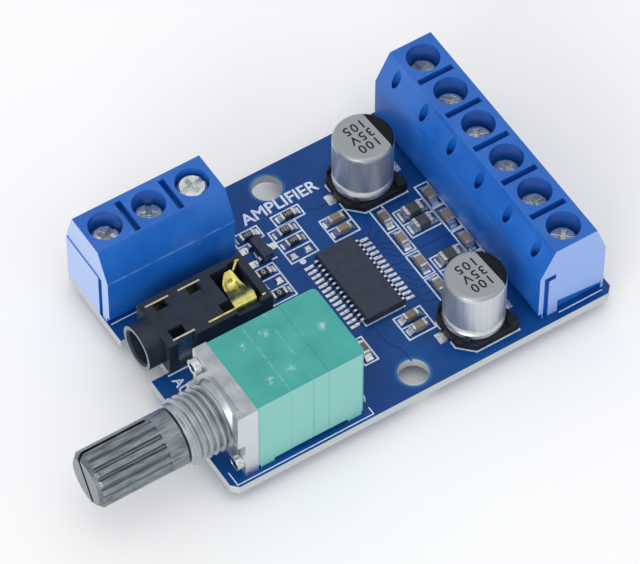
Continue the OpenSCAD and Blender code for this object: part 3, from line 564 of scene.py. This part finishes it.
def worn_edge(finish, point, across, colour, width, length, share):
    """Pale rubbed stretches along a straight edge through a point, with the directions across it: mm."""
    at = add(finish, "ShaderNodeTexCoord")
    off = add(finish, "ShaderNodeVectorMath", {0: at.outputs["Object"], 1: Vector(point) * MM},
              operation="SUBTRACT")
    flat = add(finish, "ShaderNodeVectorMath", {0: off.outputs["Vector"], 1: across}, operation="MULTIPLY")
    away = add(finish, "ShaderNodeVectorMath", {0: flat.outputs["Vector"]}, operation="LENGTH")
    near = add(finish, "ShaderNodeMapRange", {"Value": away.outputs["Value"], "From Min": 0.4 * width * MM,
                                              "From Max": width * MM, "To Min": share, "To Max": 0.0})
    patch = add(finish, "ShaderNodeTexNoise", {"Vector": at.outputs["Object"], "Scale": 1 / (length * MM),
                                               "Detail": 4.0})
    rubbed = add(finish, "ShaderNodeMapRange", {"Value": patch.outputs["Fac"], "From Min": 0.4,
                                                "From Max": 0.58})
    both = add(finish, "ShaderNodeMath", {0: near.outputs[0], 1: rubbed.outputs[0]}, operation="MULTIPLY")
    overlay(finish, both.outputs[0], colour)


# glossy saturated blue, with a few pale handling marks and rubbed edges, and a painted highlight that makes
# the outer face at one end paler
speaker_blue = moulded("blue polyamide, speaker side", "#145bb4", "#1e67c2", (0.24, 0.38), 4.0, 0.01)
scuffed(speaker_blue, "#8fb4ee", 0.9, 0.68)
worn_edge(speaker_blue, (speaker_low.x / MM, 0, SLOPE_FOOT), (1, 0, 1), "#7fa6ea", 0.16, 1.4, 0.12)
# painted highlight: the outer end face that looks along -Y is laid paler
paint_highlight_face(speaker_blue, "#98b3e6", (0, -1, 0), -speaker_low.y - HIGHLIGHT_END_DEPTH * MM, 0.75)
power_blue = moulded("blue polyamide, power side", "#145bb4", "#1e67c2", (0.24, 0.38), 4.0, 0.01)
scuffed(power_blue, "#8fb4ee", 0.9, 0.66)
worn_edge(power_blue, (0, power_low.y / MM, SLOPE_FOOT), (0, 1, 1), "#7fa6ea", 0.16, 1.4, 0.5)
# painted highlight: the outer end face that looks along -X is laid paler
paint_highlight_face(power_blue, "#a8bde8", (-1, 0, 0), -power_low.x - HIGHLIGHT_END_DEPTH * MM, 0.9)
settle(rounded("speaker_terminal_housing", HOUSING_EDGE), "speaker_terminal_housing", speaker_blue)
settle(rounded("power_terminal_housing", HOUSING_EDGE), "power_terminal_housing", power_blue)


# Clamps and pressure plates: tinned steel strip, bent and pressed, inside the mouldings. The screw draws the
# plate down on the wire.

# matt and even, so that it only shows as a pale floor in the wire mouths
tinned = metal("matt tin on steel", "#b4b3ad", "#d4d2ca", (0.3, 0.45), 0.8, 0.02)
for node in frame["nodes"]:
    if node.endswith("_clamps") or "_plate_" in node:
        coat(node, tinned)


# Terminal screws: zinc-plated steel, cold headed with a slot and a cross. Each is threaded into its clamp,
# and the driver has burred some of the edges.

# pale and bright with a faint green cast, and small burrs that glint
zinc = metal("bright zinc on steel", "#c6ccc9", "#f4f7f5", (0.1, 0.24), 0.8, 0.025, purity=0.8)
for node in sorted(frame["nodes"]):
    if "_screw_" in node:
        settle(rounded(node, 0.06), node, zinc)


# Headphone socket: black glass-filled moulding with a round nose in the board's notch. Two pegs locate it in
# the board, and a window in its top shows the tip spring.
# how far in from the nose's front the painted highlight reaches, in millimetres
RIM_T = 0.12
jack_low, jack_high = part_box("jack_body")
# dull black, with a painted highlight that makes the front face of the nose paler
jack_black = moulded("black socket moulding", "#1e2633", "#293241", (0.42, 0.56), 1.2, 0.015, shine=0.3)
scuffed(jack_black, "#4a515d", 0.5, 0.68)
paint_highlight_face(jack_black, "#8d959c", (-1, 0, 0), -jack_low.x - RIM_T * MM, 0.85)
settle(rounded("jack_body", 0.1), "jack_body", jack_black)


# Socket contacts: springs stamped from thin strip and pressed into slots of the moulding, with tails through
# the board. The tip spring's leaf rolls over the near wall, dips to the plug with a pressed dimple and rises
# again.
SPRING_T = 0.16
SOCKET_L = 12
LEAF_DROP = 0.9
DIMPLE_AT = (9.45, 0.6, 3.54)
DIMPLE_R = 0.25
DIMPLE_FADE = 0.5
DIMPLE_DEPTH = 0.32
STRIP_EDGE = 0.06
STRIP_Y = (-2.575, -2.325)
# the leaf from its root to its tip: the place across the socket, the height, and the two sides
leaf_rows = [
    (-2.53, 4.0, 8.02, 10.46), (-2.42, 4.2, 8.03, 10.5), (-2.1, 4.27, 8.04, 10.57), (-1.6, 4.22, 8.07, 10.64),
    (-1.1, 4.03, 8.18, 10.67), (-0.6, 3.77, 8.34, 10.65), (-0.1, 3.58, 8.47, 10.56), (0.4, 3.52, 8.5, 10.46),
    (0.9, 3.59, 8.6, 10.41), (1.4, 3.78, 8.9, 10.34), (1.95, 4.04, 9.42, 10.18),
]
# the flat strip under the leaf, in upright pieces: near end, foot, far end and top
strips = [(4.9, 0, 8.1, 4.3), (8.1, 0, 11.55, 3.1), (11.1, 0, 11.55, 4.3), (5.9, -2.7, 6.7, 0.1)]


def in_socket(x, y, z):
    """A place measured from the socket's front face, centre line and foot, in millimetres."""
    centre_y = (jack_low.y + jack_high.y) / 2
    return Vector((jack_high.x + (x - SOCKET_L) * MM, centre_y + y * MM, TOP + z * MM))


def choose(piece, wanted):
    """Selects the vertices of a piece whose place is wanted, in edit mode."""
    bpy.ops.mesh.select_all(action="DESELECT")
    bpy.ops.object.mode_set(mode="OBJECT")
    for corner in piece.data.vertices:
        corner.select = wanted(corner.co)
    bpy.ops.object.mode_set(mode="EDIT")


# pale tin, and warm bright brass with faint rolling marks
strip = metal("tinned contact strip", "#c6bda2", "#e6dec6", (0.25, 0.4), 0.6, 0.01)
brass = metal("brass spring strip", "#c0ae52", "#f1e68e", (0.2, 0.34), 0.9, 0.006)
for node in ("jack_ring_contact", "jack_ring_switch", "jack_sleeve_contact"):
    settle(rounded(node, STRIP_EDGE), node, strip)
settle(rounded("jack_tip_switch", STRIP_EDGE), "jack_tip_switch", brass)
spring = empty_piece("tip_spring")
row_y, row_z, row_x0, row_x1 = leaf_rows[0]
root = in_socket((row_x0 + row_x1) / 2, row_y, row_z - LEAF_DROP / 2)
bpy.ops.mesh.primitive_grid_add(x_subdivisions=8, y_subdivisions=1, size=MM, rotation=(math.pi / 2, 0, 0),
                                location=root)
bpy.ops.transform.resize(value=(row_x1 - row_x0, 1, LEAF_DROP), center_override=root)
choose(spring, lambda co: co.z > root.z)
for (y0, z0, l0, r0), (y1, z1, l1, r1) in zip(leaf_rows, leaf_rows[1:]):
    here = in_socket((l0 + r0) / 2, y0, z0)
    there = in_socket((l1 + r1) / 2, y1, z1)
    bpy.ops.mesh.extrude_region_move(TRANSFORM_OT_translate={"value": there - here})
    bpy.ops.transform.resize(value=((r1 - l1) / (r0 - l0), 1, 1), center_override=there)
bpy.ops.object.mode_set(mode="OBJECT")
smooth = spring.modifiers.new("smooth", "SUBSURF")
smooth.levels = 2
smooth.render_levels = 2
bpy.ops.object.modifier_apply(modifier="smooth")
bpy.ops.object.mode_set(mode="EDIT")
dimple = in_socket(*DIMPLE_AT)
choose(spring, lambda co: (co - dimple).length < DIMPLE_R * MM)
bpy.ops.transform.translate(value=(0, 0, -DIMPLE_DEPTH * MM), use_proportional_edit=True,
                            proportional_edit_falloff="SPHERE", proportional_size=DIMPLE_FADE * MM)
bpy.ops.object.mode_set(mode="OBJECT")
wall = spring.modifiers.new("wall", "SOLIDIFY")
wall.thickness = SPRING_T * MM
wall.offset = 0
bpy.ops.object.modifier_apply(modifier="wall")
bpy.ops.object.mode_set(mode="EDIT")
for x0, z0, x1, z1 in strips:
    low = in_socket(x0, STRIP_Y[0], z0)
    high = in_socket(x1, STRIP_Y[1], z1)
    bpy.ops.mesh.select_all(action="DESELECT")
    bpy.ops.mesh.primitive_cube_add(size=1, location=(low + high) / 2, scale=high - low)
    bpy.ops.mesh.bevel(offset=STRIP_EDGE * MM, segments=2, affect="EDGES")
bpy.ops.object.mode_set(mode="OBJECT")
bpy.ops.object.shade_smooth_by_angle(angle=math.radians(40))
settle(spring, "jack_tip_spring", brass)


# Volume control front: a zinc die casting with two raised pads and a bushing that is threaded to take a panel
# nut. It carries the shaft and closes the moulded layers behind it.
THREAD_PITCH = 0.75
THREAD_TURNS = 6
THREAD_MIDDLE = 2.62
THREAD_FOOT = 0.62
CREST_SHARE = 0.26
CREST_R = 3.5
ROOT_R = 3.2
COLLAR_R = CREST_R + 0.2
BUSHING_L = 4.05
COLLAR_END = 4.95
casting_low, casting_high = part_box("pot_front_casting")
bushing_end = casting_low.x
axis_y, axis_z = (middle("pot_shaft") * MM).yz
# satin grey with soft tonal patches from the die, and a duller thread; painted highlights make the faces
# looking along -X and those on the -Y side paler
cast = metal("satin die-cast zinc", "#a8adb2", "#c6cacf", (0.32, 0.5), 1.4, 0.015)
# painted highlights: faces looking along -X, then faces on the -Y side, are laid paler
paint_highlight_face(cast, "#e4e7ea", (-1, 0, 0), -casting_high.x, 0.8)
paint_highlight_face(cast, "#dcdfe2", (0, -1, 0), -casting_low.y - 0.5 * MM, 0.85)
thread_cast = metal("satin die-cast zinc, thread", "#a8adb2", "#c0c4c9", (0.34, 0.5), 1.4, 0.015)
# the bushing and its collar shrink to the root of the thread
casting = rounded("pot_front_casting", 0.12)
bpy.ops.object.mode_set(mode="EDIT")
for old_r, far in ((CREST_R, BUSHING_L), (COLLAR_R, COLLAR_END)):
    choose(casting, lambda co: co.x < bushing_end + far * MM
           and (ROOT_R + 0.05) * MM < math.hypot(co.y - axis_y, co.z - axis_z) < (COLLAR_R + 0.03) * MM)
    bpy.ops.transform.resize(value=(1, ROOT_R / old_r, ROOT_R / old_r),
                             center_override=(bushing_end, axis_y, axis_z))
bpy.ops.object.mode_set(mode="OBJECT")
settle(casting, "pot_front_casting", cast)

# the thread is a trapezium, wide at the root, that a screw modifier winds round the axis
thread = empty_piece("bushing_thread")
bpy.ops.mesh.primitive_plane_add(size=MM, rotation=(math.pi / 2, 0, 0), location=(0, 0, (CREST_R - 0.5) * MM))
bpy.ops.transform.resize(value=(THREAD_FOOT, 1, CREST_R - ROOT_R + 0.1), center_override=(0, 0, CREST_R * MM))
bpy.ops.mesh.delete(type="ONLY_FACE")
choose(thread, lambda co: co.z > (CREST_R - 0.05) * MM)
bpy.ops.transform.resize(value=(CREST_SHARE, 1, 1), center_override=(0, 0, CREST_R * MM))
bpy.ops.object.mode_set(mode="OBJECT")
turn = thread.modifiers.new("turn", "SCREW")
turn.axis = "X"
turn.angle = 2 * math.pi
turn.screw_offset = THREAD_PITCH * MM
turn.iterations = THREAD_TURNS
turn.steps = 48
turn.render_steps = 48
bpy.ops.object.modifier_apply(modifier="turn")
bpy.ops.object.mode_set(mode="EDIT")
bpy.ops.mesh.select_all(action="DESELECT")
bpy.ops.mesh.select_non_manifold(use_wire=False, use_multi_face=False, use_non_contiguous=False,
                                 use_verts=False)
bpy.ops.mesh.fill()
bpy.ops.mesh.select_all(action="SELECT")
bpy.ops.mesh.normals_make_consistent(inside=False)
thread_mid = sum(corner.co.x for corner in thread.data.vertices) / len(thread.data.vertices)
bpy.ops.transform.translate(value=(bushing_end + THREAD_MIDDLE * MM - thread_mid, axis_y, axis_z))
close_piece(thread, "board", thread_cast)
pick(thread)
bpy.ops.object.shade_smooth_by_angle(angle=math.radians(40))


# Rivets: two nickel-plated tubes through the casting and all moulded layers. Both ends are flared to clamp
# the layers together.

# smooth and mirror-like, so they show as bright rings
rivet = metal("bright nickel rivets", "#b4b8ba", "#e6e8ea", (0.14, 0.28), 0.6, 0.015)
settle(rounded("pot_rivets", 0.08), "pot_rivets", rivet)


# Volume control body: two teal phenolic cases with the two resistive wafers between them, stacked and
# riveted. Six tinned terminals go through the board; rotors with brushes turn inside.
EJECTOR_MARKS = ((-16.28, -8.02), (-13.69, -7.74), (-16.17, -12.8), (-13.77, -12.59), (-8.44, -10.04))
MARK_R = 0.65
RUB_W = 0.5
LAYER_EDGE = 0.06
REAR_EDGE = 0.22
seams = [corner.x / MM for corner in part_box("pot_front_wafer")]
pot_low, pot_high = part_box("pot_front_case")
# matt teal with pale rubbed seams, broken pale spots where the ejectors pressed, and a painted highlight that
# makes the long side facing -Y paler
teal = moulded("teal phenolic moulding", "#359b92", "#44aaa1", (0.42, 0.56), 3.0, 0.015)
scuffed(teal, "#a9c9c4", 0.8, 0.68)
for x in seams:
    worn_edge(teal, (x, 0, pot_high.z / MM), (1, 0, 1), "#a8cfca", 0.12, 0.8, 0.4)
spot = add(teal, "ShaderNodeTexCoord")
rub = add(teal, "ShaderNodeTexNoise", {"Vector": spot.outputs["Object"], "Scale": 1 / (RUB_W * MM),
                                       "Detail": 4.0})
rubbed = add(teal, "ShaderNodeMapRange", {"Value": rub.outputs["Fac"], "From Min": 0.42, "From Max": 0.6})
spotted(teal, EJECTOR_MARKS, 0.05, MARK_R, 0.8, rubbed.outputs[0], "#b4d4cf")
# painted highlight: the long side facing -Y is laid paler
paint_highlight_face(teal, "#86c0b9", (0, -1, 0), -pot_low.y - 0.4 * MM, 0.85)
# rounding lifts a few corners by some micrometres, so each layer's top is flattened again
for node in ("pot_front_case", "pot_front_wafer", "pot_rear_wafer"):
    layer = rounded(node, LAYER_EDGE)
    layer_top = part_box(node)[1].z
    bpy.ops.object.mode_set(mode="EDIT")
    choose(layer, lambda co: co.z > layer_top - 0.001 * MM)
    bpy.ops.transform.resize(value=(1, 1, 0), center_override=(0, 0, layer_top))
    bpy.ops.object.mode_set(mode="OBJECT")
    settle(layer, node, teal)
settle(rounded("pot_rear_case", REAR_EDGE, segments=3), "pot_rear_case", teal)
coat("pot_terminals", tinned)
coat("pot_wipers", brass)
# dull black, hidden but for the rear hole
rotor_black = moulded("black rotor moulding", "#14161a", "#1e2126", (0.45, 0.6), 1.5, 0.01, shine=0.3)
coat("pot_front_rotor", rotor_black)
coat("pot_rear_rotor", rotor_black)


# Volume shaft: turned aluminium with rolled splines and a sawn slit, so that a push-on knob grips. It turns
# in the bushing and carries both rotors.
GROOVE_R = 2.72
SPLINE_R = 2.9
STREAK = (0.15, 1.0, 1.0)
shaft_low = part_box("pot_shaft")[0]
# satin mid grey with fine lengthwise streaks, painted shade that darkens the grooves, and a painted highlight
# that makes the end face paler
turned = metal("satin turned aluminium", "#636b72", "#9aa2a8", (0.32, 0.5), 0.25, 0.012, grain=STREAK)
# painted shade: darker towards the bottom of each groove, by the distance from the axis
spot = add(turned, "ShaderNodeTexCoord")
off_axis = add(turned, "ShaderNodeVectorMath", {0: spot.outputs["Object"], 1: (0, axis_y, axis_z)},
               operation="SUBTRACT")
round_axis = add(turned, "ShaderNodeVectorMath", {0: off_axis.outputs["Vector"], 1: (0, 1, 1)},
                 operation="MULTIPLY")
radius = add(turned, "ShaderNodeVectorMath", {0: round_axis.outputs["Vector"]}, operation="LENGTH")
groove_shade = add(turned, "ShaderNodeMapRange", {"Value": radius.outputs["Value"], "From Min": GROOVE_R * MM,
                                          "From Max": SPLINE_R * MM, "To Min": 0.5, "To Max": 0.0})
overlay(turned, groove_shade.outputs[0], "#54595e")
# painted highlight: the end face of the shaft is laid paler
paint_highlight_face(turned, "#a2a8ac", (-1, 0, 0), -shaft_low.x - 1.0 * MM, 0.7)
settle(rounded("pot_shaft", 0.09), "pot_shaft", turned)


# Electrolytic capacitors: drawn aluminium cans crimped on a rubber bung, on a black moulded base. The top is
# printed with a dark segment over the negative lead and plain values.
CHORD = 1.68
PRINT_TURN = 3.3
PRINT_SIZE = 1.5
PRINT_H = 0.004
PRINT_EDGE = 0.25
FIRST_ROW = -1.18
ROW_STEP = 1.32
ROW_SHIFT = -0.08
can_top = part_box("capacitor_1_can")[1].z / MM
chord_way = Vector((math.cos(math.radians(PRINT_TURN)), math.sin(math.radians(PRINT_TURN)), 0))
# dull black mouldings and flat black print
base_black = moulded("black base moulding", "#0e1218", "#181c24", (0.42, 0.58), 1.2, 0.015, shine=0.3)
print_black = moulded("black can print", "#0c0e10", "#16181c", (0.4, 0.5), 0.6, 0.005, shine=0.3)
for name in CANS:
    # satin silver, with faint upright streaks from drawing about 0.4 mm apart, and painted shade that makes
    # the flat top darker than the side
    can = metal("satin drawn aluminium, " + name, "#c4c8cc", "#d2d6d9", (0.35, 0.42), 0.4, 0.001,
                grain=(1.0, 1.0, 0.06))
    # the dark print covers the part of the flat top beyond a chord
    spot = add(can, "ShaderNodeTexCoord")
    spot_axis = add(can, "ShaderNodeSeparateXYZ", {"Vector": spot.outputs["Object"]})
    across = add(can, "ShaderNodeVectorMath", {0: spot.outputs["Object"], 1: chord_way},
                 operation="DOT_PRODUCT")
    chord_at = (middle(name + "_can").dot(chord_way) + CHORD) * MM
    past_chord = add(can, "ShaderNodeMath", {0: across.outputs["Value"], 1: chord_at},
                     operation="GREATER_THAN")
    on_top = add(can, "ShaderNodeMath", {0: spot_axis.outputs["Z"], 1: (can_top - PRINT_EDGE) * MM},
                 operation="GREATER_THAN")
    inked = add(can, "ShaderNodeMath", {0: past_chord.outputs[0], 1: on_top.outputs[0]},
                operation="MULTIPLY")
    # a clear coat over the metal scatters some of the light, and the print is dull
    bare_metal = add(can, "ShaderNodeMapRange", {"Value": inked.outputs[0], "To Min": 0.85, "To Max": 0.0})
    gloss = add(can, "ShaderNodeMapRange", {"Value": inked.outputs[0], "To Min": 0.5, "To Max": 0.15})
    add(can, can.node_tree.nodes["Principled BSDF"],
        {"Metallic": bare_metal.outputs[0], "Specular IOR Level": gloss.outputs[0]})
    # painted shade: the flat top is laid darker than the side
    overlay(can, on_top.outputs[0], "#a2a7ab")
    overlay(can, inked.outputs[0], "#0e1013")
    coat(name + "_can", can)
    settle(rounded(name + "_base", 0.12), name + "_base", base_black)
    coat(name + "_leads", solder)
for row, words in enumerate(("100", "35V", "105")):
    row_places = []
    for name in CANS:
        cx, cy = middle(name + "_can").xy
        row_places.append((cx + ROW_SHIFT * row, cy + FIRST_ROW + ROW_STEP * row, can_top))
    lettering("can_print_" + words, words, PRINT_SIZE, row_places, 180 + PRINT_TURN, 0.025, PRINT_H,
              print_black, spread=1.2)


# Amplifier chip: a moulded epoxy package with fourteen gull-wing leads on each side, soldered to its pads.
# The small transistor beside it is made in the same way, with three leads.
PACKAGE_EDGE = 0.06
# dull dark grey with a blue cast, a little paler on the transistor
chip_grey = moulded("dark epoxy package", "#1f273c", "#2a3449", (0.42, 0.52), 0.8, 0.015)
transistor_grey = moulded("epoxy transistor package", "#2b3446", "#374056", (0.4, 0.5), 0.6, 0.015, shine=0.3)
settle(rounded("amplifier_chip", PACKAGE_EDGE), "amplifier_chip", chip_grey)
settle(rounded("transistor_body", PACKAGE_EDGE), "transistor_body", transistor_grey)
# bright matt tin, uneven where solder has wet it
lead_tin = metal("matt tin on leads", "#d2d5d7", "#f8f8f8", (0.22, 0.4), 0.3, 0.03)
coat("amplifier_leads", lead_tin)
coat("transistor_leads", lead_tin)


# Chip parts: sintered blocks with tinned ends, soldered to their pads. Resistors carry a black glaze with a
# plain number code, capacitors are bare brown ceramic and ferrite beads bare grey ceramic.
CODE_H = 0.004
CODED = ((-0.1, 9.4), (-1.4, 7.86), (-1.4, 6.33), (-4.95, 9.33))
LINKS = ((-6.05, 4.54), (-6.05, 1.55))
code_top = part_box("chip_resistors")[1].z / MM
# glossy black, dull brown that drifts to beige from part to part, dull grey, pale matt tin and grey print
glaze = moulded("black resistor glaze", "#101215", "#1c1e22", (0.25, 0.4), 0.5, 0.01, shine=0.4)
ceramic = moulded("brown capacitor ceramic", "#6e5a49", "#93887a", (0.4, 0.55), 5.0, 0.01)
bead = moulded("grey ferrite ceramic", "#3a3e41", "#4c5053", (0.4, 0.55), 0.8, 0.01)
ends = metal("matt tin ends", "#b4b5b2", "#ececea", (0.2, 0.38), 0.3, 0.03)
code_ink = moulded("grey code print", "#a2a7ac", "#c8cdd2", (0.45, 0.6), 0.2, 0.004)
settle(rounded("chip_resistors", 0.05), "chip_resistors", glaze)
settle(rounded("chip_capacitors", 0.06), "chip_capacitors", ceramic)
settle(rounded("ferrite_beads", 0.07), "ferrite_beads", bead)
settle(rounded("chip_terminations", 0.05), "chip_terminations", ends)
lettering("resistor_code_103", "103", 0.58, [(x, y, code_top) for x, y in CODED], 0, 0.004, CODE_H, code_ink)
lettering("resistor_code_0", "0", 0.78, [(x, y, code_top) for x, y in LINKS], 0, 0.022, CODE_H, code_ink)
